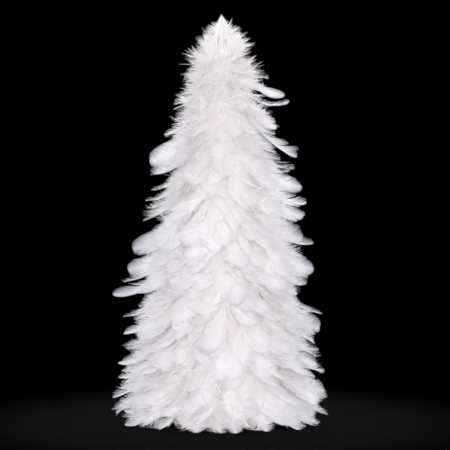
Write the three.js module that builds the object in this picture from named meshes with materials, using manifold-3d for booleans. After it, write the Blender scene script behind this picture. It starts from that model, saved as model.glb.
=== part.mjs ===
import * as THREE from 'three';
import { mergeVertices } from 'three/addons/utils/BufferGeometryUtils.js';
import Module from 'manifold-3d';

// Feather Christmas tree for a table: a foam cone on a paperboard disc, dressed
// from the bottom up with rows of feather fringe, and with four feathers at the tip.
// Millimetres, +Z up, front towards -Y, origin under the middle of the base disc.

// Foam cone and base disc
const coneHeight = 410;
const coneBaseRadius = 62;
const coneTipRadius = 4.5;
const coneEdgeRound = 3;
const discRadius = 58;
const discThickness = 2.4;
const discEdgeBevel = 0.5;
const glueGap = 0.3;
const coneSides = 20;

// Steps in which the line of a feather is worked out
const lineSteps = 24;

// Stitched tape that carries each row of feathers
const rowCount = 18;
const tapeHeight = 9;
const tapeThickness = 1.8;
const tapeBelowTip = 12;

// Feathers in the rows
const featherLength = 88;
const featherWidth = 34;
const featherThickness = 0.9;
const quillWidth = 2.6;
const featherSpacing = 54;
const fewestPairs = 4;
const sidewaysLean = 8;
const layerClearance = 1.1;
const floorClearance = 0.7;

// Feathers that stand up round the tip
const tipFeatherCount = 4;
const tipFeatherLength = 60;
const tipFeatherBelly = 15;
const tipFeatherThickness = 1;
const tipFeatherMouth = 7;

// The two kinds of feather in a row: where they start on the tape, how high they
// lie in the row's layer, and the outline from quill to rounded end as stations
// along the feather, with the part of its width and of its cup at each of them
const innerFeather = {
  rootShare: 0.36,
  levelShare: 0.02,
  stationShares: [0, 0.3, 0.62, 0.88, 1],
  widthShares: [0, 0.58, 0.96, 0.9, 0.2],
  cupShares: [0, 0.4, 0.95, 0.85, 0.3],
};
const outerFeather = {
  rootShare: 0.66,
  levelShare: 0.5,
  stationShares: [0, 0.27, 0.54, 0.79, 0.94, 1],
  widthShares: [0, 0.5, 0.9, 1, 0.66, 0.16],
  cupShares: [0, 0.3, 0.9, 1, 0.62, 0.3],
};
const cupDepthShare = 0.36;
const rollShare = 0.07;
const liftShare = 0.05;
const rootDepthShare = 0.3;
const shortestFeatherShare = 0.9;
const narrowestFeatherShare = 0.9;
const shortestTipShare = 0.88;
const tipRoundShare = 0.5;
const unevenShare = 0.2;
const rowStaggerShare = 0.5;

// Stations up a tip feather: its length, its swelling away from the cone, and
// the part of its quarter of the circle that it covers
const tipFeatherForm = {
  stationShares: [0, 0.14, 0.34, 0.56, 0.78, 0.93, 1],
  bellyShares: [0, 0.44, 0.94, 1, 0.62, 0.24, 0],
  spreadShares: [0.34, 0.6, 0.86, 0.88, 0.8, 0.56, 0.2],
};

const wasm = await Module();
wasm.setup();

// Random shares between 0 and 1 that are the same on every run
function randomShares(seed) {
  let state = seed;
  return () => {
    state = (state * 16807) % 2147483647;
    return state / 2147483647;
  };
}

function mix(from, to, share) {
  return from + (to - from) * share;
}

// Value at a share, read from pairs of share and value joined by straight lines
function readTable(pairs, share) {
  const last = pairs.length - 1;
  for (let i = 1; i <= last; i += 1) {
    const [startShare, startValue] = pairs[i - 1];
    const [endShare, endValue] = pairs[i];
    if (share <= endShare || i === last) {
      return mix(startValue, endValue, (share - startShare) / (endShare - startShare));
    }
  }
  return pairs[last][1];
}

function signedVolume(geometry) {
  const position = geometry.getAttribute('position');
  const index = geometry.getIndex();
  const a = new THREE.Vector3();
  const b = new THREE.Vector3();
  const c = new THREE.Vector3();
  let total = 0;
  for (let i = 0; i < index.count; i += 3) {
    a.fromBufferAttribute(position, index.getX(i));
    b.fromBufferAttribute(position, index.getX(i + 1));
    c.fromBufferAttribute(position, index.getX(i + 2));
    total += a.dot(b.cross(c));
  }
  return total / 6;
}

// Closed geometry with shared vertices and its faces pointing out
function closedGeometry(source) {
  const bare = source.clone();
  bare.deleteAttribute('normal');
  bare.deleteAttribute('uv');
  const closed = mergeVertices(bare);
  if (signedVolume(closed) < 0) {
    closed.getIndex().array.reverse();
  }
  return closed;
}

function solidOf(geometry) {
  const closed = closedGeometry(geometry);
  return new wasm.Manifold(new wasm.Mesh({
    numProp: 3,
    vertProperties: new Float32Array(closed.getAttribute('position').array),
    triVerts: new Uint32Array(closed.getIndex().array),
  }));
}

function geometryOf(solid) {
  const mesh = solid.getMesh();
  const geometry = new THREE.BufferGeometry();
  geometry.setAttribute('position', new THREE.BufferAttribute(mesh.vertProperties, 3));
  geometry.setIndex(new THREE.BufferAttribute(mesh.triVerts, 1));
  geometry.computeVertexNormals();
  return geometry;
}

// Skin over a line of four-pointed rings, closed at both ends. The splits of the
// faces mirror each other on the two sides of a feather, and the ends are split at
// the shaft, so the thin upper and lower skins of a cupped feather stay apart.
function loft(rings) {
  const sides = rings[0].length;
  const faces = [];
  for (let ring = 1; ring < rings.length; ring += 1) {
    for (let side = 0; side < sides; side += 1) {
      const next = (side + 1) % sides;
      const low = (ring - 1) * sides;
      const high = ring * sides;
      if (side % 2 === 0) {
        faces.push(low + side, low + next, high + next);
        faces.push(low + side, high + next, high + side);
      } else {
        faces.push(low + side, low + next, high + side);
        faces.push(low + next, high + next, high + side);
      }
    }
  }
  const lastRing = (rings.length - 1) * sides;
  for (let side = 2; side < sides; side += 1) {
    const next = (side + 1) % sides;
    faces.push(1, next, side);
    faces.push(lastRing + 1, lastRing + side, lastRing + next);
  }
  const geometry = new THREE.BufferGeometry();
  geometry.setFromPoints(rings.flat());
  geometry.setIndex(faces);
  return closedGeometry(geometry);
}

// Revolved profile of radius and height, with the same sides as the cone
function turned(profile) {
  const points = profile.map(([radius, height]) => new THREE.Vector2(radius, height));
  const geometry = new THREE.LatheGeometry(points, coneSides);
  geometry.rotateX(Math.PI / 2);
  return closedGeometry(geometry);
}

function pointAt(radius, angle, height) {
  return new THREE.Vector3(radius * Math.sin(angle), -radius * Math.cos(angle), height);
}

// Cone surface and the rows on it
const coneFoot = discThickness + glueGap;
const coneTop = coneFoot + coneHeight;
const coneTaper = (coneBaseRadius - coneTipRadius) / coneHeight;

function coneRadius(height) {
  return coneBaseRadius - coneTaper * (height - coneFoot);
}

// The cone's sides are flat, so a root sits nearer the axis between two corners
function flatSideShare(angle) {
  const side = 2 * Math.PI / coneSides;
  const fromMiddle = THREE.MathUtils.euclideanModulo(angle, side) - side / 2;
  return Math.cos(side / 2) / Math.cos(fromMiddle);
}

// How a feather leaves the cone and how far it curls, by the row's place up the
// cone: degrees from straight down, and the row's part of the full length
const leaveAngles = [[0, 60], [0.28, 28], [0.7, 28], [0.85, 34], [0.93, 46], [1, 80]];
const curlAngles = [[0, 92], [0.28, 90], [0.7, 90], [0.85, 94], [0.93, 104], [1, 124]];
const lengthShares = [[0, 0.64], [0.12, 0.9], [0.28, 1], [0.7, 0.98], [0.85, 0.76], [0.93, 0.58], [1, 0.42]];

// Line of a feather from its root, for a row's place up the cone: it hangs at
// first and curls more and more towards the end. Distance out and rise.
function featherLine(placeShare, alongShare) {
  const leave = THREE.MathUtils.degToRad(readTable(leaveAngles, placeShare));
  const turn = THREE.MathUtils.degToRad(readTable(curlAngles, placeShare)) - leave;
  const stepLength = featherLength * readTable(lengthShares, placeShare) * alongShare / lineSteps;
  let out = 0;
  let rise = 0;
  for (let step = 0; step < lineSteps; step += 1) {
    const share = alongShare * (step + 0.5) / lineSteps;
    const angle = leave + turn * share * share;
    out += stepLength * Math.sin(angle);
    rise -= stepLength * Math.cos(angle);
  }
  return { out, rise };
}

const firstTapeHeight = floorClearance - featherLine(0, 1).rise;
const lastTapeHeight = coneTop - tapeBelowTip;
const rowPitch = (lastTapeHeight - firstTapeHeight) / rowCount;
const topTapeHeight = lastTapeHeight - rowPitch;
const rootDepth = glueGap + tapeThickness * rootDepthShare;

// Lower face of a row's layer, as radius and height at a share of the feather
function layerLine(row, alongShare) {
  const place = row / rowCount;
  const start = firstTapeHeight + rowPitch * row;
  const path = featherLine(place, alongShare);
  return new THREE.Vector2(coneRadius(start) + rootDepth + path.out, start + path.rise);
}

// The layer between a row's line and the next row's, at a share of the feather
function layerAt(row, alongShare) {
  const lower = layerLine(row, alongShare);
  const upper = layerLine(row + 1, alongShare);
  const ahead = layerLine(row, alongShare + 0.01).sub(lower).normalize();
  const across = upper.clone().sub(lower);
  const thickness = Math.abs(across.cross(ahead));
  return { lower, upper, thickness };
}

// One cupped feather: a keel along the shaft with both edges raised above it
function rowFeather(row, angle, kind, random) {
  const reachShare = mix(shortestFeatherShare, 1, random());
  const lean = sidewaysLean * mix(-1, 1, random());
  const roll = rollShare * mix(-1, 1, random());
  const lift = liftShare * random();
  const widest = featherWidth * mix(narrowestFeatherShare, 1, random());
  const upSlope = Math.cos(Math.atan(coneTaper));
  const rings = kind.stationShares.map((stationShare, i) => {
    if (i === 0) {
      const height = firstTapeHeight + rowPitch * row + tapeHeight * kind.rootShare * upSlope;
      const half = quillWidth / 2 / (coneRadius(height) + rootDepth);
      const rise = featherThickness / 2;
      const root = (turn, level) => pointAt(
        (coneRadius(level) + rootDepth) * flatSideShare(turn),
        turn,
        level,
      );
      return [
        root(angle - half, height),
        root(angle, height + rise),
        root(angle + half, height),
        root(angle, height - rise),
      ];
    }
    const alongShare = stationShare * reachShare;
    const { lower, upper, thickness } = layerAt(row, alongShare);
    const bare = layerClearance / thickness;
    const skin = featherThickness / thickness;
    const room = 1 - bare - bare - skin;
    const keel = bare + room * (kind.levelShare + lift * stationShare);
    const cup = room * cupDepthShare * kind.cupShares[i];
    const tilt = room * roll * stationShare;
    const radius = mix(lower.x, upper.x, keel);
    const half = mix(quillWidth, widest, kind.widthShares[i]) / 2 / radius;
    const middle = angle + lean * stationShare / radius;
    const place = (share, turn) => pointAt(
      mix(lower.x, upper.x, share),
      turn,
      mix(lower.y, upper.y, share),
    );
    return [
      place(keel + skin / 2 + cup - tilt, middle - half),
      place(keel + skin, middle),
      place(keel + skin / 2 + cup + tilt, middle + half),
      place(keel, middle),
    ];
  });
  return loft(rings);
}

// Tape wound once round the cone
function tapeRing(row) {
  const low = firstTapeHeight + rowPitch * row;
  const high = low + tapeHeight * Math.cos(Math.atan(coneTaper));
  const inner = glueGap;
  const outer = glueGap + tapeThickness;
  return turned([
    [coneRadius(low) + inner, low],
    [coneRadius(low) + outer, low],
    [coneRadius(high) + outer, high],
    [coneRadius(high) + inner, high],
    [coneRadius(low) + inner, low],
  ]);
}

// A row: its tape with the feathers joined to it, inner and outer ones in turn,
// set half a step round from the row below so that they cover its gaps
function rowGeometry(row) {
  const random = randomShares(4391 + row * 977);
  const girth = 2 * Math.PI * layerLine(row, 1).x;
  const pairs = Math.max(fewestPairs, Math.round(girth / featherSpacing / 2));
  const count = pairs * 2;
  const start = rowStaggerShare * row;
  let solid = solidOf(tapeRing(row));
  for (let i = 0; i < count; i += 1) {
    const angle = 2 * Math.PI * (i + start + unevenShare * mix(-1, 1, random())) / count;
    const kind = i % 2 === 0 ? innerFeather : outerFeather;
    solid = solid.add(solidOf(rowFeather(row, angle, kind, random)));
  }
  return geometryOf(solid);
}

// A feather standing up round the tip, within its own quarter of the circle
function tipFeather(number) {
  const sector = 2 * Math.PI / tipFeatherCount;
  const middle = sector * (number + 0.5);
  const random = randomShares(7127 + number * 613);
  const length = tipFeatherLength * mix(shortestTipShare, 1, number === 0 ? 1 : random());
  const start = topTapeHeight + tapeHeight + layerClearance;
  const rings = tipFeatherForm.stationShares.map((stationShare, i) => {
    const height = start + length * stationShare;
    const onCone = coneRadius(Math.min(height, coneTop)) + glueGap;
    const above = Math.max(0, height - coneTop) / (start + length - coneTop);
    const inner = mix(onCone, tipFeatherMouth, above) + tipFeatherBelly * tipFeatherForm.bellyShares[i];
    const half = sector / 2 * tipFeatherForm.spreadShares[i];
    const edge = (inner + tipFeatherThickness / 2) / Math.cos(half);
    return [
      pointAt(edge, middle - half, height),
      pointAt(inner + tipFeatherThickness, middle, height),
      pointAt(edge, middle + half, height),
      pointAt(inner, middle, height),
    ];
  });
  return loft(rings);
}

function finish(color, roughness) {
  return new THREE.MeshStandardMaterial({ color, roughness, metalness: 0 });
}

function piece(name, geometry, color, roughness) {
  geometry.computeVertexNormals();
  const mesh = new THREE.Mesh(geometry, finish(color, roughness));
  mesh.name = name;
  return mesh;
}

// Core: the cone stands on the disc with a glue line between them
const core = new THREE.Group();
const disc = turned([
  [0, 0],
  [discRadius - discEdgeBevel, 0],
  [discRadius, discEdgeBevel],
  [discRadius, discThickness - discEdgeBevel],
  [discRadius - discEdgeBevel, discThickness],
  [0, discThickness],
]);
core.add(piece('base_disc', disc, 0xe9e4da, 0.85));
const tipRound = coneTipRadius * tipRoundShare;
const foam = turned([
  [0, coneFoot],
  [coneBaseRadius - coneEdgeRound, coneFoot],
  [coneRadius(coneFoot + coneEdgeRound), coneFoot + coneEdgeRound],
  [coneRadius(coneTop - tipRound), coneTop - tipRound],
  [coneTipRadius - tipRound, coneTop],
  [0, coneTop],
]);
core.add(piece('foam_cone', foam, 0xf3f1ec, 0.9));

// Rows of feathers from the bottom up
const rows = new THREE.Group();
for (let row = 0; row < rowCount; row += 1) {
  const name = `feather_row_${String(row + 1).padStart(2, '0')}`;
  rows.add(piece(name, rowGeometry(row), 0xf5f2f4, 0.8));
}

// Feathers round the tip
const tip = new THREE.Group();
for (let number = 0; number < tipFeatherCount; number += 1) {
  tip.add(piece(`tip_feather_${number + 1}`, tipFeather(number), 0xf5f2f4, 0.8));
}

const group = new THREE.Group();
group.add(core, rows, tip);
export default group;
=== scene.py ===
import math

import bpy
import numpy as np
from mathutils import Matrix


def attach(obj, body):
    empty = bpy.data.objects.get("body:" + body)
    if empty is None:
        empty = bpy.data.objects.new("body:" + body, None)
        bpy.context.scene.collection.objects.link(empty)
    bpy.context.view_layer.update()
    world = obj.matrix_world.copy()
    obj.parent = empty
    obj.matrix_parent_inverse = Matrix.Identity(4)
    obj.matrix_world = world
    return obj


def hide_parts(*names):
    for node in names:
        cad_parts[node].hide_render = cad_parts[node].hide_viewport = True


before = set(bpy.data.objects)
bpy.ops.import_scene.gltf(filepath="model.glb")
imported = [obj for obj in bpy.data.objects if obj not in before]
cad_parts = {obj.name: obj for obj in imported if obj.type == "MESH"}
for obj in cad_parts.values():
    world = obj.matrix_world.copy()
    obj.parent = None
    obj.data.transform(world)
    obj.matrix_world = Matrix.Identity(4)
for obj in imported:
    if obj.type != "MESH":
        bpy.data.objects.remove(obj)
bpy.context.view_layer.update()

mm = 0.001
tiny = 1e-6                   # keeps a division safe
upward = np.array([0.0, 0.0, 1.0])
print("frame loaded:", len(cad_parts), "nodes")


def addObject(name, data):
    made = bpy.data.objects.new(name, data)
    bpy.context.scene.collection.objects.link(made)
    return made


def mix(a, b, share):
    return a + (b - a) * share


def varied(pair, amount):
    # the first of two values, with so many times the second added
    return pair[0] + pair[1] * amount


def readTable(pairs, share):
    xs, ys = zip(*pairs)
    return float(np.interp(share, xs, ys))


def around(angle):
    # outward direction at an angle round the tree, 0 at the front
    return np.array([math.sin(angle), -math.cos(angle), 0.0])


def spread(rng, amount):
    # a chance angle of up to so many degrees either way, where small ones come more often
    return math.radians(amount) * (rng.random() + rng.random() - 1)


# The cone and its rows of fringe, in the same sizes as the solids
cone = {"foot": 2.7, "height": 410, "footRadius": 62, "topRadius": 4.5}
cone["taper"] = (cone["footRadius"] - cone["topRadius"]) / cone["height"]

fringe = {
    "seed": 5200,
    "rows": 18,
    "firstTape": 19.1,
    "lastTape": 400.7,        # the rows share the cone up to here
    "tapeHeight": 9,
    "tapeThickness": 1.8,
    "tapeSides": 40,
    "glueGap": 0.3,
    "rootOut": 1.2,           # how far off the cone's skin its feathers start
    "rootSpread": 0.62,       # of the pitch, over which a row's feathers start
    "shuffle": 0.7,           # of the spacing, over which a feather's place is chance
    "endsOut": 0.7,           # how far out a feather ends, in its lengths
    "featherLength": 88,
    # the tables run from the foot, 0, to the tip, 1
    "leave": [(0, 62), (0.1, 34), (0.28, 27), (0.7, 27), (0.85, 30), (0.93, 40), (1, 66)],
    "curl": [(0, 90), (0.28, 84), (0.7, 82), (0.85, 80), (0.93, 86), (1, 104)],
    "length": [(0, 0.46), (0.05, 0.65), (0.12, 0.81), (0.3, 0.89), (0.5, 0.87), (0.6, 0.85),
               (0.72, 0.8), (0.85, 0.66), (0.93, 0.5), (1, 0.38)],
    "spacing": [(0, 9), (0.07, 14), (0.6, 13), (0.8, 11), (1, 9)],      # along the girth at the feather ends
    "smooth": [(0, 0.4), (0.5, 0.34), (0.68, 0.22), (0.8, 0.1), (1, 0)],      # share of the feathers
    "smoothLooseness": 0.08,
    "looseness": [(0, 0.55), (0.5, 0.72), (0.68, 0.95), (0.8, 1.25), (1, 1.5)],     # of the others
    "loosenessVaries": (0.6, 1.3),
    "longShare": 0.14,        # of the feathers that are longer, and by how much
    "longBy": (1.1, 1.25),
    "plumes": [(0, 0.5), (0.2, 0.8), (0.45, 0.95), (0.65, 1.3), (0.8, 2.2), (1, 3.4)],      # for each feather
}
fringe["pitch"] = (fringe["lastTape"] - fringe["firstTape"]) / fringe["rows"]


def coneRadius(height):
    return cone["footRadius"] - cone["taper"] * (height - cone["foot"])


def onCone(outward, height, out):
    # a place so far off the cone's skin
    return outward * (coneRadius(height) + out) + upward * height


# A dressing gathers the skin of one piece, and its finishes have this order
vaneSkin, shaftSkin, tapeSkin = range(3)


def startDressing():
    return {"points": [], "faces": [], "finish": [], "cells": [], "barbs": [], "total": 0}


def addSkin(dressing, points, faces, finish, cells, barbs):
    # faces are rows of four corners, with -1 as the last corner of a triangle
    shifted = np.where(faces >= 0, faces + dressing["total"], -1)
    dressing["points"].append(points)
    dressing["faces"].append(shifted)
    dressing["finish"].append(np.full(len(faces), finish))
    dressing["cells"].append(cells)
    dressing["barbs"].append(barbs)
    dressing["total"] += len(points)


floorRest = {"height": 1.6, "squash": 1.2, "softness": 6.0}   # where feathers lie on the table
outline = {"reach": 116, "softness": 10}                      # the longest feathers are held in to this


def layOnTable(points):
    low = points[:, 2] < floorRest["height"]
    points[low, 2] = floorRest["height"] - floorRest["squash"] * np.tanh(
        (floorRest["height"] - points[low, 2]) / floorRest["softness"])


def holdIn(points):
    reach = np.hypot(points[:, 0], points[:, 1])
    over = np.maximum(reach - outline["reach"], 0)
    held = np.minimum(reach, outline["reach"]) + outline["softness"] * np.tanh(over / outline["softness"])
    points[:, :2] *= (held / np.maximum(reach, tiny))[:, None]


def finishDressing(dressing, name, finishes):
    points = np.concatenate(dressing["points"])
    layOnTable(points)
    holdIn(points)
    faces = np.concatenate(dressing["faces"])
    corners = faces[faces >= 0]
    sides = np.where(faces[:, 3] >= 0, 4, 3)
    starts = np.concatenate([[0], np.cumsum(sides)[:-1]])
    mesh = bpy.data.meshes.new(name)
    mesh.vertices.add(len(points))
    mesh.vertices.foreach_set("co", (points * mm).ravel())
    mesh.loops.add(len(corners))
    mesh.loops.foreach_set("vertex_index", corners.astype(np.int32))
    mesh.polygons.add(len(faces))
    mesh.polygons.foreach_set("loop_start", starts.astype(np.int32))
    mesh.polygons.foreach_set("material_index", np.concatenate(dressing["finish"]).astype(np.int32))
    for layerName, values in (("OFBake", "cells"), ("barbs", "barbs")):
        layer = mesh.uv_layers.new(name=layerName)
        layer.data.foreach_set("uv", np.concatenate(dressing[values])[corners].ravel())
    for finish in finishes:
        mesh.materials.append(finish)
    mesh.update(calc_edges=True)
    mesh.shade_smooth()
    return addObject(name, mesh)


# Each feather has its own square of the picture map, for colours to be baked into
bakeCell = {
    "start": 0.05,            # where the quill is, and how long the feather is
    "length": 0.84,
    "longest": 1.05,
    "middle": 0.52,           # where its shaft is, and how wide its sides are
    "vane": 0.43,
    "widest": 1.04,
    "down": 0.4,
    "barbWidth": 0.004,
    "shaft": (0.01, 0.012),
    "across": (0.1, 0.8),     # where hair of the tip and a tape lie
    "tapeCorner": (0.2, 0.15),
}


def cellIn(grid, index):
    return (index % grid / grid, index // grid / grid, 1 / grid)


def inCell(cell, along, out):
    u0, v0, size = cell
    return np.stack([u0 + size * along, v0 + size * out], axis=-1)


def alongCell(s):
    return bakeCell["start"] + bakeCell["length"] * s


shaft = {
    "linePoints": 18,
    "rollRate": 1.5,          # a roll is complete at two thirds of the length
    "rings": (0, 0.12, 0.25, 0.4, 0.55, 0.7, 0.84),      # and one more at its end
    "radius": (0.42, 0.1),    # at the quill and at the end
    "flatness": 0.8,
    "end": 0.97,
}


def shaftLine(root, outward, leave, curl, length, yaw=0.0, roll=0.0, lean=0.0, power=2.0):
    # a feather's curved middle line, with its own directions at each point of it
    s = np.linspace(0, 1, shaft["linePoints"])
    between = (s[1:] + s[:-1]) / 2
    sideways = np.array([-outward[1], outward[0], 0.0])

    def directions(at):
        angle = leave + (curl - leave) * at ** power
        turn = yaw * at
        flat = np.cos(turn)[:, None] * outward + np.sin(turn)[:, None] * sideways
        slant = np.cos(lean) * upward + np.sin(lean) * sideways
        along = np.sin(angle)[:, None] * flat - np.cos(angle)[:, None] * slant
        normal = np.cos(angle)[:, None] * flat + np.sin(angle)[:, None] * slant
        return along, normal

    steps, _ = directions(between)
    centre = root + np.vstack([np.zeros(3), np.cumsum(steps, axis=0) * length / (len(s) - 1)])
    along, normal = directions(s)
    across = np.cross(along, normal)
    twist = (roll * np.clip(s * shaft["rollRate"], 0, 1))[:, None]
    across = across * np.cos(twist) + normal * np.sin(twist)
    return {"s": s, "centre": centre, "along": along, "across": across,
            "normal": np.cross(across, along), "length": length}


def onLine(line, s, key):
    return np.stack([np.interp(s, line["s"], line[key][:, axis]) for axis in range(3)], axis=-1)


def onVane(line, s, y, h):
    # s along the shaft in lengths, y to its side and h off the vane in millimetres
    inside = np.clip(s, 0, 1)
    beyond = (s - inside) * line["length"]
    return (onLine(line, inside, "centre") + onLine(line, inside, "across") * y[..., None]
            + onLine(line, inside, "normal") * h[..., None]
            + onLine(line, inside, "along") * beyond[..., None])


def barbFaces(count, quads, turned=False):
    # each barb has pairs of corners and a single last one, so its last face is a triangle
    pattern = [[2 * i, 2 * i + 1, 2 * i + 3, 2 * i + 2] for i in range(quads)]
    last = [2 * quads, 2 * quads + 1, 2 * quads + 2]
    if turned:
        pattern = [face[::-1] for face in pattern]
        last = last[::-1]
    pattern = np.array(pattern + [last + [-1]])[None]
    first = (2 * quads + 3) * np.arange(count)[:, None, None]
    return np.where(pattern >= 0, pattern + first, -1).reshape(-1, 4)


feather = {
    "barbs": 40,              # on each side
    "bareQuill": 0.16,        # part of the shaft without a vane
    "sweep": 0.19,            # how far a barb runs forward, in lengths
    "longSides": 0.58,        # barbs that end on the sides, the others end on the round tip
    "tipShare": 0.2,          # of the length that the round end takes
    "width": (24, 34),
    "sideWidth": (0.86, 1),   # each side is a little narrower by chance
    "narrowFrom": 0.7,        # towards the tree's tip, from here, the feathers get narrower
    "narrowOver": 0.3,
    "narrowTo": 0.66,
    "cup": (0.3, 0.75),       # rise of the edges, in half widths
    "ridge": 0.16,            # each barb stands a little proud of the next
    "gap": 0.14,              # of each barb's width, open near the edge
    "edgeWave": 0.8,
    "cling": 0.8,             # of frayed barbs to their neighbours
    "splits": (1, 6),         # on each side, fewer than the second number
    "splitShift": 0.03,
    "splitLift": 1.3,
    "lengthSpread": 0.24,
    "lengthMiddle": 1.05,     # above 1 the feathers are a little shorter on the whole
    "leaveSpread": 9,
    "curlSpread": 28,
    "yawSpread": 36,
    "rollSpread": 32,
    "leanSpread": 18,
    "sideTurn": 26,           # that neighbours share
    "turnPlaces": 12,         # round a row, with a shared turn at each
    "turnLean": 0.4,          # a feather also leans over by this share of its turn
    "bendPower": (1.6, 2.4),  # higher brings the curl closer to the end
}

vane = {
    "lastRoot": 0.985,        # where the last barb leaves the shaft
    "quillReach": 0.42,       # of the first barbs, in half widths
    "endPower": 0.75,         # lower makes the end of a feather more square
    "forwardPower": 1.35,     # how a barb sweeps forward, and out
    "outPower": 0.9,
    "barbPlaces": (0.0, 0.4, 0.75, 1.0),      # along a barb, where it has its corners
    "gapPlaces": (0.6, 1.6),  # how open the gap is at the two middle places
    "barbEnd": 0.6,           # how far a barb narrows at its end
    "looseNarrow": (0.0, 0.35, 0.62, 0.85),   # how far a frayed barb narrows, place by place
    "past": (0.03, 0.05),     # how far a barb's point is beyond its last corners
    "frayedPast": 0.16,
    "firstSplit": 3,
    "calmFrom": 0.5,          # beyond this the splits open less
    "calmShift": 0.75,
    "calmLift": 0.6,
    "frayPlaces": 7,          # along a side, between which the fraying varies
    "frayRuns": 1.3,
    "fraySingle": 0.35,
    "frayTuft": (2, 6),       # frayed barbs that cling together, fewer than the second number
    "strayShift": 0.012,
    "strayLift": 1.5,
    "waves": 17,              # radians of the edge's wave on a length
    "wavePhases": 6.28,       # about a full turn
    "streaks": (37.0, 3.1),   # moves the streaks, so that each vane has its own
}


def vaneShape(t, halfWidth):
    # for barbs in order from the quill: where they leave the shaft, where they end, and how far out
    sides, bodyEnd = feather["longSides"], 1 - feather["tipShare"]
    body = np.clip(t / sides, 0, 1)
    turn = np.clip((t - sides) / (1 - sides), 0, 1) * math.pi / 2
    leaves = mix(feather["bareQuill"], vane["lastRoot"], t)
    ends = np.where(t < sides, mix(feather["bareQuill"] + feather["sweep"], bodyEnd, body),
                    bodyEnd + feather["tipShare"] * np.sin(turn))
    reach = halfWidth * np.where(t < sides, mix(vane["quillReach"], 1, np.sin(body * math.pi / 2)),
                                 np.cos(turn) ** vane["endPower"])
    return leaves, ends, reach


def growVane(dressing, line, side, halfWidth, cup, looseness, cell, rng):
    # one side of a feather: barbs zipped into a sheet, open at splits and frayed at the edge
    count = feather["barbs"]
    barb = np.arange(count)
    borders = np.arange(count + 1)
    leaves, ends, reach = vaneShape(borders / count, halfWidth)

    def barbAt(border, at):
        first = np.interp(border, borders, leaves)
        last = np.interp(border, borders, ends)
        out = np.interp(border, borders, reach)
        return first + (last - first) * at ** vane["forwardPower"], out * at ** vane["outPower"]

    splits = np.sort(rng.choice(np.arange(vane["firstSplit"], count - 1), rng.integers(*feather["splits"]),
                                replace=False))
    group = np.searchsorted(splits, barb, side="right")
    calm = np.clip((barb / count - vane["calmFrom"]) / (1 - vane["calmFrom"]), 0, 1)
    shifts = rng.normal(0, feather["splitShift"], len(splits) + 1)[group] * (1 - vane["calmShift"] * calm)
    lifts = rng.normal(0, feather["splitLift"], len(splits) + 1)[group] * (1 - vane["calmLift"] * calm)
    places = vane["frayPlaces"]
    runs = np.interp(barb, np.linspace(0, count, places), rng.random(places) ** 2)
    frayed = np.clip(runs * vane["frayRuns"] * looseness
                     + vane["fraySingle"] * looseness * rng.random(count), 0, 1)
    stray = rng.normal(0, 1, (2, count))
    tuft = np.repeat(barb, rng.integers(*vane["frayTuft"], count))[:count]
    wavePhase = rng.random() * vane["wavePhases"]

    # each barb lies between two borders, and narrows towards its middle line
    q = np.array(vane["barbPlaces"])[None, :, None]
    border = barb[:, None, None] + np.array([0, 1])[None, None, :]
    middle = barb[:, None, None] + 0.5
    zippedNarrow = (0.0, *(feather["gap"] * share for share in vane["gapPlaces"]), vane["barbEnd"])
    narrow = mix(np.array(zippedNarrow)[None, :, None], np.array(vane["looseNarrow"])[None, :, None],
                 frayed[:, None, None])
    s, y = barbAt(mix(border, middle, narrow), np.broadcast_to(q, (count, 4, 2)))
    over = (1 + vane["past"][0] + vane["past"][1] * rng.random(count)
            + vane["frayedPast"] * frayed * rng.random(count))
    tipS, tipY = barbAt(barb + 0.5, over)
    cling = (np.bincount(tuft, tipS) / np.maximum(np.bincount(tuft), 1))[tuft] - tipS

    def lay(sPart, yPart, at, ridge):
        shape = (-1,) + (1,) * (sPart.ndim - 1)
        outer = at ** 2
        pulled = shifts + (vane["strayShift"] * stray[0] + feather["cling"] * cling) * frayed
        h = halfWidth * cup * (yPart / halfWidth) ** 2 + ridge
        h = h + (lifts.reshape(shape) + vane["strayLift"] * (stray[1] * frayed).reshape(shape)) * outer
        h = h + feather["edgeWave"] * np.sin(sPart * vane["waves"] + wavePhase) * outer
        return onVane(line, sPart + pulled.reshape(shape) * outer, side * yPart, h)

    strips = lay(s, y, q, feather["ridge"] * np.array([-1, 1])[None, None, :] * q)
    tips = lay(tipS, tipY, over, np.zeros(count))

    def inOrder(paired, single):
        return np.concatenate([paired.reshape(count, 8), single[:, None]], axis=1).ravel()

    points = np.concatenate([strips.reshape(count, 8, 3), tips[:, None, :]], axis=1).reshape(-1, 3)
    cells = inCell(cell, alongCell(np.clip(inOrder(s, tipS), 0, bakeCell["longest"])),
                   bakeCell["middle"] + side * bakeCell["vane"]
                   * np.clip(inOrder(y, tipY) / halfWidth, 0, bakeCell["widest"]))
    barbU = inOrder(np.broadcast_to(q, (count, 4, 2)), over)
    barbV = inOrder(np.broadcast_to(border, (count, 4, 2)), barb + 0.5)
    byCell, bySide = vane["streaks"]
    barbs = np.stack([barbU, barbV / count + cell[0] * byCell + side * bySide], axis=-1)
    addSkin(dressing, points, barbFaces(count, 3, side < 0), vaneSkin, cells, barbs)


def ringFaces(rings, closed=False):
    # faces between rings of four corners, such as those of a shaft or a tape
    faces = []
    for ring in range(rings if closed else rings - 1):
        here, there = ring * 4, (ring + 1) % rings * 4
        for corner in range(4):
            after = (corner + 1) % 4
            faces.append([here + corner, there + corner, there + after, here + after])
    return faces


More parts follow.
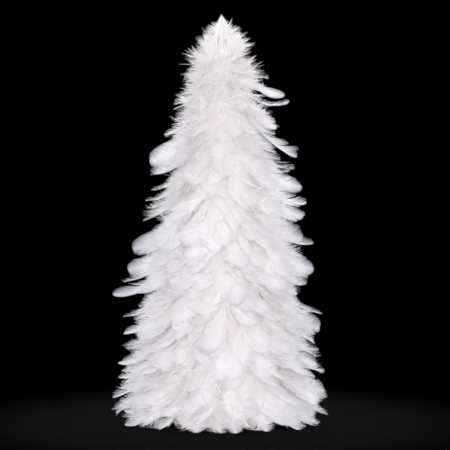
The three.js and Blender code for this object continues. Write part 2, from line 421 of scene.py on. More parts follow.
def growShaft(dressing, line, end, cell):
    s = np.array([*shaft["rings"], end])
    radius = mix(*shaft["radius"], s)
    angles = np.arange(4) * math.pi / 2
    y = radius[:, None] * np.cos(angles)
    h = radius[:, None] * np.sin(angles) * shaft["flatness"]
    points = onVane(line, np.broadcast_to(s[:, None], y.shape), y, h).reshape(-1, 3)
    last = (len(s) - 1) * 4
    faces = ringFaces(len(s)) + [[3, 2, 1, 0], [last, last + 1, last + 2, last + 3]]
    along = np.repeat(s, 4)
    cells = inCell(cell, alongCell(along), varied(bakeCell["shaft"], np.tile([0, 1, 2, 1], len(s))))
    addSkin(dressing, points, np.array(faces), shaftSkin, cells, np.stack([along, along * 0], axis=-1))


down = {
    "atQuill": 24,            # loose barbs at the foot of each feather
    "quillPart": (0.04, 0.08),      # of the shaft, from here to so far beyond the bare quill
    "quillBarbLength": (10, 22),
    "barbWidth": 0.3,
    "barbTaper": (1.0, 1.0, 0.8),
    "barbPlaces": (0, 0.35, 0.7, 1.0),      # along a loose barb, where it has its corners
    "tuft": 5,                # barbs that cling together
    "tuftShares": 0.9,        # how much chance the barbs of a tuft share, and how much is a barb's own
    "barbOwn": 0.3,
    "cling": 0.68,
    "clingPower": 1.5,
    "limpness": 0.5,
    "lengthVaries": 0.4,
    "lengthLimit": 0.6,
    "endLength": 0.6,         # of the barbs at the end of a shaft, against those at its foot
    # usual value and spread, where a barb's step outward is 1
    "forward": (1.5, 0.35),
    "rise": (0.05, 0.28),
    "bendForward": (0.3, 0.2),
    "bendOut": (-0.1, 0.12),
    "bendRise": 0.25,
    "streakSpread": 40,
}

hairOut = np.repeat(down["barbPlaces"], 2)[:-1]      # how far out the corners of one loose barb are
hairEdge = [0, 1, 0, 1, 0, 1, 0.5]                   # which edge of it they are on


def clumped(rng, count):
    # chance values that the barbs of a tuft share, with a little of their own
    shared = np.repeat(rng.normal(0, 1, count // down["tuft"] + 1), down["tuft"])[:count]
    return down["tuftShares"] * shared + down["barbOwn"] * rng.normal(0, 1, count)


def growHair(dressing, root, heading, bend, length, facing, cells, rng):
    # loose barbs, where those of a tuft cling together towards their ends
    count = len(root)
    q = np.array(down["barbPlaces"])
    course = heading[:, None] * q[:, None] + bend[:, None] * (q ** 2)[:, None]
    path = root[:, None] + length[:, None, None] * course
    tuft = np.arange(count) // down["tuft"]
    sizes = np.bincount(tuft)[:, None]
    ends = np.stack([np.bincount(tuft, path[:, -1, axis]) for axis in range(3)], axis=-1) / sizes
    path += (ends[tuft] - path[:, -1])[:, None] * (down["cling"] * q ** down["clingPower"])[:, None]
    broad = np.cross(heading, facing)
    broad /= np.linalg.norm(broad, axis=1)[:, None] + tiny
    width = down["barbWidth"] * np.array(down["barbTaper"])
    left = path[:, :3] - broad[:, None] * width[:, None] / 2
    right = path[:, :3] + broad[:, None] * width[:, None] / 2
    strips = np.stack([left, right], axis=2).reshape(count, 6, 3)
    points = np.concatenate([strips, path[:, 3:4]], axis=1).reshape(-1, 3)
    streak = np.repeat(rng.random(count) * down["streakSpread"], len(hairOut))
    barbs = np.stack([np.tile(hairOut, count), streak], axis=-1)
    addSkin(dressing, points, barbFaces(count, 2), vaneSkin, cells, barbs)


def growDown(dressing, line, first, last, count, lengths, cell, rng):
    # loose downy barbs on both sides of a shaft
    start = np.sort(mix(first, last, rng.random(count)))
    side = np.where(rng.random(count // down["tuft"] + 1) < 0.5, -1.0, 1.0)
    side = np.repeat(side, down["tuft"])[:count]
    limit = down["lengthLimit"]
    longer = np.clip(down["lengthVaries"] * clumped(rng, count), -limit, limit)
    length = sum(lengths) / 2 + (lengths[1] - lengths[0]) * longer
    length *= mix(1, down["endLength"], (start - first) / (last - first))
    centre = onLine(line, start, "centre")
    across, along, normal = (onLine(line, start, key) for key in ("across", "along", "normal"))
    forward = varied(down["forward"], clumped(rng, count))
    rise = varied(down["rise"], clumped(rng, count))
    heading = across * side[:, None] + along * forward[:, None] + normal * rise[:, None]
    heading /= np.linalg.norm(heading, axis=1)[:, None]
    bend = along * varied(down["bendForward"], clumped(rng, count))[:, None]
    bend += normal * (down["bendRise"] * clumped(rng, count))[:, None]
    bend += across * (side * varied(down["bendOut"], rng.normal(0, 1, count)))[:, None]
    corners = len(hairOut)
    strip = np.repeat(alongCell(start), corners) + bakeCell["barbWidth"] * np.tile(hairEdge, count)
    out = np.repeat(side, corners) * bakeCell["down"] * np.tile(hairOut, count)
    cells = inCell(cell, strip, bakeCell["middle"] + out)
    growHair(dressing, centre, heading, down["limpness"] * bend, length, normal, cells, rng)


def growFeather(dressing, line, width, cup, looseness, cell, rng):
    for side in (-1, 1):
        halfWidth = width / 2 * rng.uniform(*feather["sideWidth"])
        growVane(dressing, line, side, halfWidth, cup, looseness, cell, rng)
    growShaft(dressing, line, shaft["end"], cell)
    first, beyond = down["quillPart"]
    growDown(dressing, line, first, feather["bareQuill"] + beyond, down["atQuill"],
             down["quillBarbLength"], cell, rng)


plume = {
    "barbs": 130,
    "barbLength": (13, 25),
    "barbsOn": (0.05, 0.96),  # part of the shaft
    "shaftEnd": 0.9,
    "reach": [(0, 112), (150, 96), (300, 64), (331, 58), (357, 52), (384, 48), (400, 40)],      # by height
    "reachVaries": (0.72, 1),
    "barbReach": 0.5,         # of a barb's length, by which the plume reaches beyond its shaft
    "shortest": 14,
    "longest": 70,
    "usualSlope": 0.4,        # so far from leave to curl, the direction stands for the whole shaft
    "leastSlope": 0.45,
    "upTurned": (0.06, 0.7),  # share that turns up near the tip: in front, and at the sides
    "sidesPower": 3,
    "hanging": (0.62, 0.66, 0),      # shares of the row's leave and curl, and a lift in radians
    "raised": (1, 1, 0.4),
    "leaveSpread": 14,
    "curlSpread": 24,
    "yawSpread": 50,
    "rollSpread": 50,
    "leanSpread": 26,
    "bendPower": 1.4,
}


def growPlume(dressing, line, cell, rng):
    growShaft(dressing, line, plume["shaftEnd"], cell)
    growDown(dressing, line, *plume["barbsOn"], plume["barbs"], plume["barbLength"], cell, rng)


def growTape(dressing, low, cell):
    sides = fringe["tapeSides"]
    high = low + fringe["tapeHeight"]
    inner, outer = fringe["glueGap"], fringe["glueGap"] + fringe["tapeThickness"]
    section = [(coneRadius(low) + inner, low), (coneRadius(low) + outer, low),
               (coneRadius(high) + outer, high), (coneRadius(high) + inner, high)]
    points, cells = [], []
    for side in range(sides):
        for corner, (radius, height) in enumerate(section):
            points.append(around(2 * math.pi * side / sides) * radius + upward * height)
            cells.append(inCell(cell, varied(bakeCell["across"], abs(2 * side / sides - 1)),
                                varied(bakeCell["tapeCorner"], corner)))
    faces = np.array(ringFaces(sides, closed=True))
    addSkin(dressing, np.array(points), faces, tapeSkin, np.array(cells), np.array(cells))


def growRowFeather(dressing, spot, turn, cell, rng):
    leave = spot["leave"] + spread(rng, feather["leaveSpread"])
    curl = spot["curl"] + spread(rng, feather["curlSpread"])
    length = fringe["featherLength"] * readTable(fringe["length"], spot["share"])
    length *= 1 + feather["lengthSpread"] * (rng.random() + rng.random() - feather["lengthMiddle"])
    if rng.random() < fringe["longShare"]:
        length *= rng.uniform(*fringe["longBy"])
    line = shaftLine(spot["root"], spot["outward"], leave, curl, length,
                     turn + spread(rng, feather["yawSpread"]), spread(rng, feather["rollSpread"]),
                     feather["turnLean"] * turn + spread(rng, feather["leanSpread"]),
                     rng.uniform(*feather["bendPower"]))
    narrowing = max(0, spot["share"] - feather["narrowFrom"]) / feather["narrowOver"]
    width = rng.uniform(*feather["width"]) * mix(1, feather["narrowTo"], narrowing)
    looseness = readTable(fringe["looseness"], spot["share"]) * rng.uniform(*fringe["loosenessVaries"])
    if rng.random() < readTable(fringe["smooth"], spot["share"]):
        looseness = fringe["smoothLooseness"]
    growFeather(dressing, line, width, rng.uniform(*feather["cup"]), looseness, cell, rng)


def growRowPlume(dressing, spot, cell, rng):
    # a downy plume between the feathers, as long as its place inside the outline allows
    atSides = abs(math.sin(spot["angle"])) ** plume["sidesPower"]
    upTurned = rng.random() < spot["share"] * mix(*plume["upTurned"], atSides)
    leaveShare, curlShare, lift = plume["raised" if upTurned else "hanging"]
    leave = leaveShare * spot["leave"] + spread(rng, plume["leaveSpread"]) + lift
    curl = curlShare * spot["curl"] + spread(rng, plume["curlSpread"]) + lift
    barbReach = plume["barbReach"] * sum(plume["barbLength"]) / 2
    reach = readTable(plume["reach"], spot["height"]) * rng.uniform(*plume["reachVaries"])
    reach = reach - barbReach - coneRadius(spot["height"])
    slope = max(plume["leastSlope"], math.sin(mix(leave, curl, plume["usualSlope"])))
    length = min(max(plume["shortest"], reach / slope), plume["longest"])
    line = shaftLine(spot["root"], spot["outward"], leave, curl, length, spread(rng, plume["yawSpread"]),
                     spread(rng, plume["rollSpread"]), spread(rng, plume["leanSpread"]), plume["bendPower"])
    growPlume(dressing, line, cell, rng)


def growRow(number):
    rng = np.random.default_rng(fringe["seed"] + number)
    dressing = startDressing()
    middle = (number + 0.5) / fringe["rows"]
    low = fringe["firstTape"] + fringe["pitch"] * number
    out = fringe["endsOut"] * fringe["featherLength"] * readTable(fringe["length"], middle)
    count = round(2 * math.pi * (coneRadius(low) + out) / readTable(fringe["spacing"], middle))
    plumes = round(count * readTable(fringe["plumes"], middle))
    proud = proudIn(low, low + fringe["pitch"])
    grid = math.ceil(math.sqrt(count + plumes + 1 + len(proud)))
    places = feather["turnPlaces"]
    turns = rng.normal(0, feather["sideTurn"], places)
    for index in range(count + plumes):
        downy = index >= count
        angle = 2 * math.pi * (index + fringe["shuffle"] * rng.random()) / (plumes if downy else count)
        height = low + fringe["pitch"] * rng.random() * (1.0 if downy else fringe["rootSpread"])
        share = (height - fringe["firstTape"]) / (fringe["lastTape"] - fringe["firstTape"])
        outward = around(angle)
        spot = {"angle": angle, "height": height, "share": share, "outward": outward,
                "root": onCone(outward, height, fringe["rootOut"]),
                "leave": math.radians(readTable(fringe["leave"], share)),
                "curl": math.radians(readTable(fringe["curl"], share))}
        if downy:
            growRowPlume(dressing, spot, cellIn(grid, index), rng)
        else:
            turn = np.interp(angle * places / (2 * math.pi), np.arange(places + 2),
                             np.append(turns, turns[:2]))
            growRowFeather(dressing, spot, math.radians(turn), cellIn(grid, index), rng)
    growTape(dressing, low, cellIn(grid, count + plumes))
    for index, found in enumerate(proud):
        growProud(dressing, found, cellIn(grid, count + plumes + 1 + index), rng)
    return dressing


# Feathers that stand proud of the outline, each by the place of its end:
# angle round the tree, reach from the axis, height, leave, curl, width, roll, looseness
proudFeathers = [
    (90, 69, 359, 48, 86, 11, 70, 0.22), (93, 75, 354, 36, 128, 14, 24, 0.3),
    (90, 61, 323, 30, 62, 17, 60, 0.4), (88, 83, 291, 28, 72, 22, 20, 0.3),
    (92, 90, 258, 30, 90, 24, 62, 0.3), (86, 92, 240, 30, 94, 22, 40, 0.2),
    (90, 91, 226, 30, 92, 26, 48, 0.3), (93, 102, 195, 28, 104, 22, 16, 0.3),
    (89, 102, 168, 28, 92, 30, 62, 0.35), (91, 109, 119, 30, 88, 14, 10, 0.25),
    (90, 109, 101, 28, 84, 30, 70, 0.25), (92, 107, 78, 30, 100, 16, 12, 0.5),
    (90, 106, 62, 26, 82, 20, 30, 0.22), (88, 114, 34, 30, 96, 30, 78, 0.9),
    (90, 112, 12, 30, 92, 24, 24, 0.2), (61, 113, 2, 40, 84, 26, 10, 0.3),
    (72, 108, 3, 40, 84, 24, 14, 0.3), (-90, 64, 316, 36, 84, 18, 30, 0.6),
    (-92, 80, 286, 34, 78, 24, -78, 0.22), (-88, 76, 278, 34, 92, 12, 6, 0.22),
    (-90, 78, 254, 28, 88, 16, 20, 0.5), (-90, 84, 243, 28, 96, 14, 12, 0.5),
    (-93, 99, 189, 30, 80, 24, -74, 0.22), (-90, 105, 166, 28, 86, 25, -62, 0.25),
    (-88, 109, 154, 28, 92, 18, -10, 0.25), (-91, 121, 140, 30, 98, 22, -34, 0.22),
    (-90, 109, 115, 28, 96, 18, -14, 0.3), (-90, 108, 97, 28, 88, 24, -30, 0.4),
    (-91, 108, 81, 28, 84, 18, -12, 0.5), (-90, 113, 65, 28, 98, 24, -32, 0.2),
    (-90, 115, 48, 28, 100, 24, -30, 0.5), (-90, 122, 25, 32, 80, 24, -16, 0.3),
    (-90, 123, 11, 34, 84, 22, -12, 0.3), (-78, 104, 3, 40, 86, 26, -10, 0.3),
    (-54, 104, 2, 40, 84, 26, -8, 0.25), (-40, 107, 2, 44, 84, 26, 0, 0.3),
    (-14, 105, 1, 50, 86, 30, 0, 0.3), (8, 106, 1, 50, 86, 30, 0, 0.3),
    (27, 104, 1, 46, 86, 28, 0, 0.3), (46, 113, 1, 44, 88, 27, 0, 0.3),
]

proudForm = {
    "steps": 200,             # along its middle line, to find where its root is
    "rounds": 6,              # enough for its length and its root to settle
    "inLastRow": 0.01,        # below the top of the last row
    "cup": (0.7, 0.12),       # without a roll, and from the full roll on
    "fullRoll": 60,
    "spread": 6,
}


def proudIn(low, high):
    # the proud feathers that start on the cone between two heights, with the length that fits each
    found = []
    s = np.linspace(0, 1, proudForm["steps"])
    for accent in proudFeathers:
        reach, height, leave, curl = accent[1:5]
        bends = np.radians(leave + (curl - leave) * s ** 2)
        length = fringe["featherLength"]
        for _ in range(proudForm["rounds"]):
            rootHeight = height + length * np.cos(bends).mean()
            length = (reach - coneRadius(rootHeight) - fringe["rootOut"]) / np.sin(bends).mean()
        rootHeight = min(max(rootHeight, fringe["firstTape"]), fringe["lastTape"] - proudForm["inLastRow"])
        if low <= rootHeight < high:
            found.append((accent, rootHeight, length))
    return found


def growProud(dressing, found, cell, rng):
    (angle, _, _, leave, curl, width, roll, looseness), rootHeight, length = found
    outward = around(math.radians(angle))
    root = onCone(outward, rootHeight, fringe["rootOut"])
    line = shaftLine(root, outward, math.radians(leave), math.radians(curl), length,
                     spread(rng, proudForm["spread"]), math.radians(roll), spread(rng, proudForm["spread"]))
    cup = mix(*proudForm["cup"], min(1, abs(roll) / proudForm["fullRoll"]))
    growFeather(dressing, line, width, cup, looseness, cell, rng)


# The tuft round the tip: upright feathers, two in each of its four pieces
tipTuft = {
    "seed": 810,
    "pieces": 4,
    "start": 400,
    "rootOut": 1.4,
    "places": [(43, 78), (112, 162), (198, 248), (282, 317)],     # degrees round the tip
    "lengths": [(47, 45), (44, 43), (44, 46), (45, 49)],
    "leave": 176,
    "curl": 203,
    "bendPower": 1.0,
    "width": 4,
    "cup": 0.2,
    "looseness": 0.8,
    "smooth": {"piece": 1, "length": 42, "width": 8, "looseness": 0.1},
    "barbs": 180,
    "barbsTo": 0.97,          # part of the shaft that has loose barbs
    "barbLength": (15, 25),
    "barbVaries": (0.5, 0.4),
    "barbReach": [(0, 0.86), (0.4, 0.95), (0.58, 0.72), (0.7, 0.4), (0.82, 0.2), (0.9, 0.1),
                  (1, 0.06)],      # from quill to end
    "rightLonger": 0.12,      # of their length, and so much shorter on the left
    "frontFan": (6, 56),      # degrees that the loose barbs turn off to the side
    "backFan": (-40, 56),
    "fanSpread": 4,
    "climb": (-34, 58),       # of the loose barbs, at the quill and at the end
    "climbPower": 0.8,
    "climbSpread": 10,
    "bend": (0.04, 0.08),
}


def standingLine(outward, length):
    # the shaft of a feather that stands up beside the tip and leans in
    root = onCone(outward, tipTuft["start"], tipTuft["rootOut"])
    return shaftLine(root, outward, math.radians(tipTuft["leave"]), math.radians(tipTuft["curl"]),
                     length, power=tipTuft["bendPower"])


def growMainTip(dressing, place, length, cell, rng):
    # an upright feather, with loose barbs fanned off to its side of the tree
    outward = around(place)
    line = standingLine(outward, length)
    growFeather(dressing, line, tipTuft["width"], tipTuft["cup"], tipTuft["looseness"], cell, rng)
    count = tipTuft["barbs"]
    start = np.sort(rng.random(count)) * tipTuft["barbsTo"]
    toSide = math.copysign(1, math.sin(place))
    fan = rng.uniform(*tipTuft["frontFan" if math.cos(place) > 0 else "backFan"], count)
    fan = place + np.radians(toSide * fan + tipTuft["fanSpread"] * clumped(rng, count))
    heading = np.stack([np.sin(fan), -np.cos(fan), np.zeros(count)], axis=1)
    climb = mix(*tipTuft["climb"], start ** tipTuft["climbPower"])
    climb = np.radians(climb + tipTuft["climbSpread"] * clumped(rng, count))
    heading = heading * np.cos(climb)[:, None] + upward * np.sin(climb)[:, None]
    reach = mix(*tipTuft["barbLength"], np.clip(varied(tipTuft["barbVaries"], clumped(rng, count)), 0, 1))
    reach *= (np.array([readTable(tipTuft["barbReach"], at) for at in start])
              * (1 + tipTuft["rightLonger"] * toSide))
    bend = upward * varied(tipTuft["bend"], clumped(rng, count))[:, None]
    cells = inCell(cell, np.repeat(alongCell(start), len(hairOut)),
                   varied(bakeCell["across"], np.tile(hairOut, count)))
    growHair(dressing, onLine(line, start, "centre"), heading, bend, reach,
             np.tile(outward, (count, 1)), cells, rng)


# Short plumes at the foot of the tuft, hanging and standing in turn
tipPlume = {
    "count": 23,              # in each piece
    "sideways": 0.72,         # radians from the middle of the piece
    "slit": 0.86,             # cosine of the angle over which the front stays open
    "slitTurn": 0.5,
    "covers": 8,              # in front, the hanging ones before this number cover the top of the cone
    "coverStart": 3,
    "highest": 412,           # the cone's girth is taken no higher
    "rootOut": 0.8,
    "reach": [(384, 37), (395, 32), (410, 29), (423, 25), (437, 16), (446, 6)],     # by height
    "barbReach": 14,
    "shortest": 8,
    "leastSlope": 0.4,
    "yawSpread": 40,
    "rollSpread": 60,
    "hanging": {"start": (-4, 9), "leave": (30, 62), "curl": (45, 80), "rise": -10, "longest": 34},
    "standing": {"start": (-6, 7), "leave": (95, 150), "curl": (105, 165), "rise": 14, "longest": 26},
}


def growTipPlume(dressing, middle, index, cell, rng):
    hanging = index % 2 == 0
    form = tipPlume["hanging" if hanging else "standing"]
    place = middle + rng.uniform(-tipPlume["sideways"], tipPlume["sideways"])
    if math.cos(place) > tipPlume["slit"] and not hanging:
        place += math.copysign(tipPlume["slitTurn"], math.sin(place))
    outward = around(place)
    height = tipTuft["start"] + rng.uniform(*form["start"])
    if hanging and index < tipPlume["covers"] and math.cos(middle) > 0:
        height = tipTuft["start"] + tipPlume["coverStart"] + index
    root = outward * (coneRadius(min(height, tipPlume["highest"])) + tipPlume["rootOut"]) + upward * height
    leave, curl = (math.radians(rng.uniform(*form[key])) for key in ("leave", "curl"))
    reach = readTable(tipPlume["reach"], height + form["rise"]) - tipPlume["barbReach"]
    length = max(tipPlume["shortest"], reach / max(tipPlume["leastSlope"], math.sin(leave)))
    line = shaftLine(root, outward, leave, curl, min(length, form["longest"]),
                     spread(rng, tipPlume["yawSpread"]), spread(rng, tipPlume["rollSpread"]))
    growPlume(dressing, line, cell, rng)


def growTip(number):
    rng = np.random.default_rng(tipTuft["seed"] + number)
    dressing = startDressing()
    middle = 2 * math.pi * (number + 0.5) / tipTuft["pieces"]
    mains = list(zip(tipTuft["places"][number], tipTuft["lengths"][number]))
    total = len(mains) + tipPlume["count"]
    grid = math.ceil(math.sqrt(total))
    smooth = tipTuft["smooth"]
    for index in range(total):
        cell = cellIn(grid, index)
        if index < len(mains):
            place, length = mains[index]
            growMainTip(dressing, math.radians(place), length, cell, rng)
        elif number == smooth["piece"] and index == total - 1:
            # a smooth feather at the back of the tip, seen through the slit in front
            line = standingLine(around(math.pi), smooth["length"])
            growFeather(dressing, line, smooth["width"], tipTuft["cup"], smooth["looseness"], cell, rng)
        else:
            growTipPlume(dressing, middle, index, cell, rng)
    return dressing


# Finishes


def newMaterial(name):
    made = bpy.data.materials.new(name)
    made.use_nodes = True
    made.node_tree.nodes.clear()
    return made


def addNode(tree, kind, place, settings=None, inputs=None):
    # an input is a plain value, or an output of another node, which is linked to it
    node = tree.nodes.new("ShaderNode" + kind)
    node.location = place
    for key, value in (settings or {}).items():
        setattr(node, key, value)
    for key, value in (inputs or {}).items():
        if isinstance(value, bpy.types.NodeSocket):
            tree.links.new(value, node.inputs[key])
        else:
            node.inputs[key].default_value = value
    return node


def colourRamp(tree, place, stops, by):
    node = addNode(tree, "ValToRGB", place, inputs={"Fac": by})
    elements = node.color_ramp.elements
    while len(elements) < len(stops):
        elements.new(0.5)
    for element, (at, colour) in zip(elements, stops):
        element.position = at
        element.color = (*colour, 1)
    return node


vaneFinish = {
    "white": (0.984, 0.987, 0.991),
    "shade": (0.976, 0.975, 0.981),
    "paintedHollowShade": (1, 0.972, 0.955),        # painted warm shade, warmer and darker towards the cone in the hollows between the feathers, where the downy parts are
    "paintedShadeDepth": (0.012, 0.05),       # metres from the cone's skin
    "through": (0.985, 0.984, 0.987),
    "throughShare": (0.62, 0.93),       # inside the outline, and where single feathers stand out
    # the next colour is painted shade: a greyer lilac for the light through feathers that stand out by
    # themselves
    "throughAlonePaintedShade": (0.93, 0.885, 0.945),
    "standingOut": (0.047, 0.059),      # metres from the cone's skin
    "streakStretch": (1.2, 38, 1),      # along a barb, and from barb to barb
    "patchScale": 46,
    "roughness": 0.62,
    "sheen": 0.2,
    "bump": 0.0004,
}


def vaneColour(tree, place, streaks):
    # fine streaks along the barbs and broad soft patches, between the white and its shade
    patches = addNode(tree, "TexNoise", (-700, -300), inputs={
        "Vector": place, "Scale": vaneFinish["patchScale"], "Detail": 2, "Roughness": 0.5})
    blend = addNode(tree, "Mix", (-480, -120), {"data_type": "FLOAT"}, {
        "Factor": 0.5, 2: streaks, 3: patches.outputs["Fac"]})
    return colourRamp(tree, (-280, 0), [(0.3, vaneFinish["shade"]), (0.62, vaneFinish["white"])],
                      blend.outputs[0])


def beyondCone(tree, place):
    # distance from the axis and what the cone has lost to its taper, so it is even all over the skin
    flat = addNode(tree, "VectorMath", (-900, -560), {"operation": "MULTIPLY"}, {0: place, 1: (1, 1, 0)})
    girth = addNode(tree, "VectorMath", (-700, -560), {"operation": "LENGTH"}, {0: flat.outputs[0]})
    parts = addNode(tree, "SeparateXYZ", (-900, -740), inputs={0: place})
    beyond = addNode(tree, "Math", (-500, -640), {"operation": "MULTIPLY_ADD"}, {
        0: parts.outputs["Z"], 1: cone["taper"], 2: girth.outputs["Value"]})
    return beyond.outputs[0]


def rangeBeyond(tree, place, beyond, depths):
    # 0 to 1 between two depths beyond the cone's skin
    near, far = (cone["footRadius"] * mm + depth for depth in depths)
    node = addNode(tree, "MapRange", place, inputs={"Value": beyond, "From Min": near, "From Max": far})
    return node.outputs["Result"]


def makeVaneMaterial():
    made = newMaterial("feather vane")
    tree = made.node_tree
    barbs = addNode(tree, "UVMap", (-1100, 0), {"uv_map": "barbs"})
    stretch = addNode(tree, "Mapping", (-900, 0), inputs={
        "Vector": barbs.outputs["UV"], "Scale": vaneFinish["streakStretch"]})
    streaks = addNode(tree, "TexNoise", (-700, 0), inputs={
        "Vector": stretch.outputs["Vector"], "Scale": 2.0, "Detail": 3, "Roughness": 0.6}).outputs["Fac"]
    place = addNode(tree, "TexCoord", (-1100, -300)).outputs["Object"]
    colour = vaneColour(tree, place, streaks)
    beyond = beyondCone(tree, place)
    # painted warm shade: the colour turns warmer and darker the deeper it lies in the hollows towards the
    # cone
    paintedTone = colourRamp(tree, (-140, -640), [(0, vaneFinish["paintedHollowShade"]), (1, (1, 1, 1))],
                      rangeBeyond(tree, (-320, -640), beyond, vaneFinish["paintedShadeDepth"]))
    withPaintedShade = addNode(tree, "Mix", (-20, -300), {"data_type": "RGBA", "blend_type": "MULTIPLY"}, {
        "Factor": 1.0, 6: colour.outputs["Color"], 7: paintedTone.outputs["Color"]})
    bump = addNode(tree, "Bump", (-280, -300), inputs={
        "Strength": 0.25, "Distance": vaneFinish["bump"], "Height": streaks})
    surface = addNode(tree, "BsdfPrincipled", (0, 0), inputs={
        "Base Color": withPaintedShade.outputs[2], "Normal": bump.outputs["Normal"],
        "Roughness": vaneFinish["roughness"], "Specular IOR Level": 0.2, "Diffuse Roughness": 1.0,
        "Sheen Weight": vaneFinish["sheen"], "Sheen Roughness": 0.5})

    # light comes through the barbs, most of all where a feather stands out by itself
    standing = rangeBeyond(tree, (-320, -860), beyond, vaneFinish["standingOut"])
    inside, alone = vaneFinish["throughShare"]
    share = addNode(tree, "MapRange", (60, -860), inputs={
        "Value": standing, "To Min": inside, "To Max": alone})
    # painted shade: feathers that stand out by themselves pass a greyer lilac light
    paintedShadeVeil = addNode(tree, "Mix", (-140, -860), {"data_type": "RGBA"}, {
        0: standing, 6: (*vaneFinish["through"], 1), 7: (*vaneFinish["throughAlonePaintedShade"], 1)})
    through = addNode(tree, "BsdfTranslucent", (0, -420), inputs={
        "Color": paintedShadeVeil.outputs[2], "Normal": bump.outputs["Normal"]})
    both = addNode(tree, "MixShader", (300, 0), inputs={
        "Fac": share.outputs["Result"], 1: surface.outputs[0], 2: through.outputs[0]})
    addNode(tree, "OutputMaterial", (520, 0), inputs={"Surface": both.outputs[0]})
    return made


# The finishes with a plain grain: its two colours, its fineness, and its depth in metres
mattFinishes = {
    "feather shaft": {"light": (0.95, 0.94, 0.93), "dark": (0.92, 0.9, 0.88),
                      "scale": 240, "roughness": 0.42, "depth": 0.0001},
    "cotton tape": {"light": (0.78, 0.76, 0.73), "dark": (0.68, 0.66, 0.62),
                    "scale": 700, "roughness": 0.9, "depth": 0.0003},
    "beaded foam": {"light": (0.8, 0.78, 0.76), "dark": (0.7, 0.67, 0.65),
                    "scale": 330, "roughness": 0.8, "depth": 0.0006, "beads": True},
    "base paperboard": {"light": (0.7, 0.65, 0.57), "dark": (0.58, 0.53, 0.45),
                        "scale": 160, "roughness": 0.85, "depth": 0.0002},
}


def makeMattMaterial(name, light, dark, scale, roughness, depth, beads=False):
    made = newMaterial(name)
    tree = made.node_tree
    place = addNode(tree, "TexCoord", (-900, 0)).outputs["Object"]
    if beads:
        height = addNode(tree, "TexVoronoi", (-700, 0), inputs={
            "Vector": place, "Scale": scale}).outputs["Distance"]
    else:
        height = addNode(tree, "TexNoise", (-700, 0), inputs={
            "Vector": place, "Scale": scale, "Detail": 4}).outputs["Fac"]
    colour = colourRamp(tree, (-450, 0), [(0.25, light), (0.75, dark)], height)
    bump = addNode(tree, "Bump", (-450, -300), inputs={
        "Strength": 0.5, "Distance": depth, "Height": height})
    surface = addNode(tree, "BsdfPrincipled", (-150, 0), inputs={
        "Base Color": colour.outputs["Color"], "Normal": bump.outputs["Normal"], "Roughness": roughness})
    addNode(tree, "OutputMaterial", (150, 0), inputs={"Surface": surface.outputs[0]})
    return made


vaneMaterial = makeVaneMaterial()
matt = {name: makeMattMaterial(name, **look) for name, look in mattFinishes.items()}
finishes = [vaneMaterial, matt["feather shaft"], matt["cotton tape"]]
print("finishes made")

for nodeName, finishName in (("foam_cone", "beaded foam"), ("base_disc", "base paperboard")):
    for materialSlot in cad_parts[nodeName].material_slots:
        materialSlot.material = matt[finishName]

faceTotal = 0
for number in range(fringe["rows"]):
    rowName = f"row_{number + 1:02d}"
    piece = finishDressing(growRow(number), f"feathers_{rowName}", finishes)
    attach(piece, "root")
    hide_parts(f"feather_{rowName}")
    faceTotal += len(piece.data.polygons)
print("rows dressed, faces:", faceTotal)

for number in range(tipTuft["pieces"]):
    piece = finishDressing(growTip(number), f"tip_plume_{number + 1}", finishes)
    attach(piece, "root")
    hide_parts(f"tip_feather_{number + 1}")
print("tip dressed")


# Floor, light and camera

studio = {
    "light": (0.985, 0.983, 1.03),
    "skyFront": 0.53,
    "skyBack": 0.5,
    "skyTurns": (-0.6, 0.8),  # how far back a direction points, where the sky starts and ends to change
    "bounces": 24,            # light goes deep into the feathers
    "aimHeight": 0.22,
}


def seenDirectly(tree, place):
    # 1 for what the camera, a gloss or a glass shows, 0 for light that scatters, also through a feather
    x, y = place
    path = addNode(tree, "LightPath", place).outputs
    first = addNode(tree, "Math", (x + 200, y), {"operation": "MAXIMUM"}, {
        0: path["Is Camera Ray"], 1: path["Is Glossy Ray"]})
    both = addNode(tree, "Math", (x + 400, y), {"operation": "MAXIMUM"}, {
        0: first.outputs[0], 1: path["Is Transmission Ray"]})
    clear = addNode(tree, "Math", (x + 600, y), {"operation": "SUBTRACT", "use_clamp": True}, {
        0: both.outputs[0], 1: path["Is Diffuse Ray"]})
    return clear.outputs[0]


paleFloor = {
    "sides": 96,
    "radius": 0.5,
    "drop": 0.0003,           # below the foot of the tree
    "pale": 0.75,
    "seen": 0.01,             # the same floor as the camera sees it, in the dark studio
    "paintedLightPool": (0.14, 0.36),     # metres from the axis, between which the painted pool of light on the floor fades out to black
}


def makeFloorMaterial():
    made = newMaterial("pale floor")
    tree = made.node_tree
    place = addNode(tree, "TexCoord", (-900, 0)).outputs["Object"]
    distance = addNode(tree, "VectorMath", (-700, 0), {"operation": "LENGTH"}, {0: place})
    near, far = paleFloor["paintedLightPool"]
    # a painted pool of light: the floor is pale round the tree and fades to black further out
    paintedLightPool = colourRamp(tree, (-500, 0), [(near, (1, 1, 1)), (far, (0, 0, 0))], distance.outputs["Value"])
    paintedLightPool.color_ramp.interpolation = "EASE"
    paleness = addNode(tree, "MapRange", (-250, 300), inputs={
        "Value": seenDirectly(tree, (-900, 400)), "To Min": paleFloor["pale"], "To Max": paleFloor["seen"]})
    paintedTone = addNode(tree, "VectorMath", (-200, 0), {"operation": "SCALE"}, {
        0: paintedLightPool.outputs["Color"], "Scale": paleness.outputs["Result"]})
    surface = addNode(tree, "BsdfPrincipled", (0, 0), inputs={
        "Base Color": paintedTone.outputs[0], "Roughness": 0.9, "Specular IOR Level": 0.0})
    addNode(tree, "OutputMaterial", (300, 0), inputs={"Surface": surface.outputs[0]})
    return made


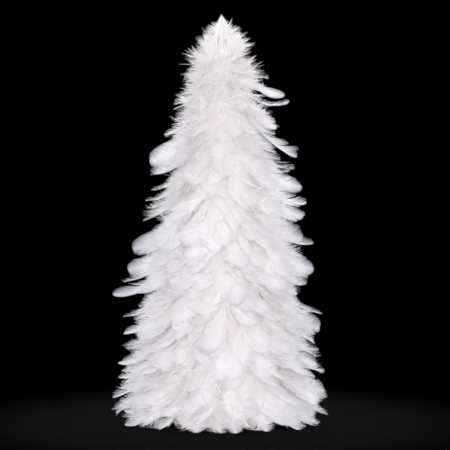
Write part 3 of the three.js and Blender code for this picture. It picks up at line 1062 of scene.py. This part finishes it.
def makeFloor():
    sides, drop = paleFloor["sides"], paleFloor["drop"]
    points = [(0, 0, -drop)]
    points += [tuple(around(2 * math.pi * i / sides) * paleFloor["radius"] + upward * -drop)
               for i in range(sides)]
    faces = [(0, 1 + i, 1 + (i + 1) % sides) for i in range(sides)]
    mesh = bpy.data.meshes.new("floor")
    mesh.from_pydata(points, [], faces)
    mesh.materials.append(makeFloorMaterial())
    floor = addObject("floor", mesh)


lamps = {
    "key": {"place": (-0.06, -2.0, 0.27), "size": 0.4, "power": 14.6},
    "fill": {"place": (0.08, -2.0, 0.2), "size": 0.4, "power": 13},
    "tip": {"place": (0, -2.0, 0.28), "size": 0.4, "power": 0.08, "aimHeight": 0.29, "beam": 16},
    "top": {"place": (0, -0.3, 1.7), "size": 1.6, "power": 3},
    "back": {"place": (0, 1.5, 1.5), "size": 0.8, "power": 6},
}


def makeLamp(name, place, size, power, aimHeight=studio["aimHeight"], beam=180):
    lamp = bpy.data.lights.new(name, "AREA")
    lamp.shape = "DISK"
    lamp.spread = math.radians(beam)
    lamp.size = size
    lamp.energy = power
    lamp.color = studio["light"]
    made = addObject(name, lamp)
    made.location = place
    aim = np.array([0, 0, aimHeight]) - np.array(place)
    made.rotation_euler = (math.acos(-aim[2] / np.linalg.norm(aim)), 0, math.atan2(-aim[0], aim[1]))


def makeWorld():
    # even light from all round, a little weaker behind the tree, and black to the eye
    world = bpy.data.worlds.new("studio")
    bpy.context.scene.world = world
    world.use_nodes = True
    tree = world.node_tree
    tree.nodes.clear()
    heading = addNode(tree, "TexCoord", (-1000, 0))
    parts = addNode(tree, "SeparateXYZ", (-800, 0), inputs={0: heading.outputs["Generated"]})
    front, back = studio["skyTurns"]
    strength = addNode(tree, "MapRange", (-600, 0), inputs={
        "Value": parts.outputs["Y"], "From Min": front, "From Max": back,
        "To Min": studio["skyFront"], "To Max": studio["skyBack"]})
    soft = addNode(tree, "Background", (-300, 0), inputs={
        "Color": (*studio["light"], 1), "Strength": strength.outputs["Result"]})
    dark = addNode(tree, "Background", (-300, -200), inputs={"Color": (0, 0, 0, 1), "Strength": 1.0})
    pick = addNode(tree, "MixShader", (0, 0), inputs={
        "Fac": seenDirectly(tree, (-700, 300)), 1: soft.outputs[0], 2: dark.outputs[0]})
    addNode(tree, "OutputWorld", (250, 0), inputs={"Surface": pick.outputs[0]})


view = {
    "distance": 1.5,
    "height": 0.2156,
    "side": 0.0033,
    "sensor": 36,
    "focalPixels": 1356.8,
    "picturePixels": 450,
}


def makeCamera():
    camera = bpy.data.cameras.new("camera")
    camera.sensor_width = view["sensor"]
    camera.lens = view["focalPixels"] / view["picturePixels"] * view["sensor"]
    made = addObject("camera", camera)
    made.location = (view["side"], -view["distance"], view["height"])
    made.rotation_euler = (math.pi / 2, 0, 0)
    bpy.context.scene.camera = made


makeFloor()
makeWorld()
for lampName, lampForm in lamps.items():
    makeLamp(lampName, **lampForm)
makeCamera()
bpy.context.scene.view_settings.view_transform = "Standard"
for bounces in ("max_bounces", "diffuse_bounces", "transmission_bounces"):
    setattr(bpy.context.scene.cycles, bounces, studio["bounces"])
print("studio set")
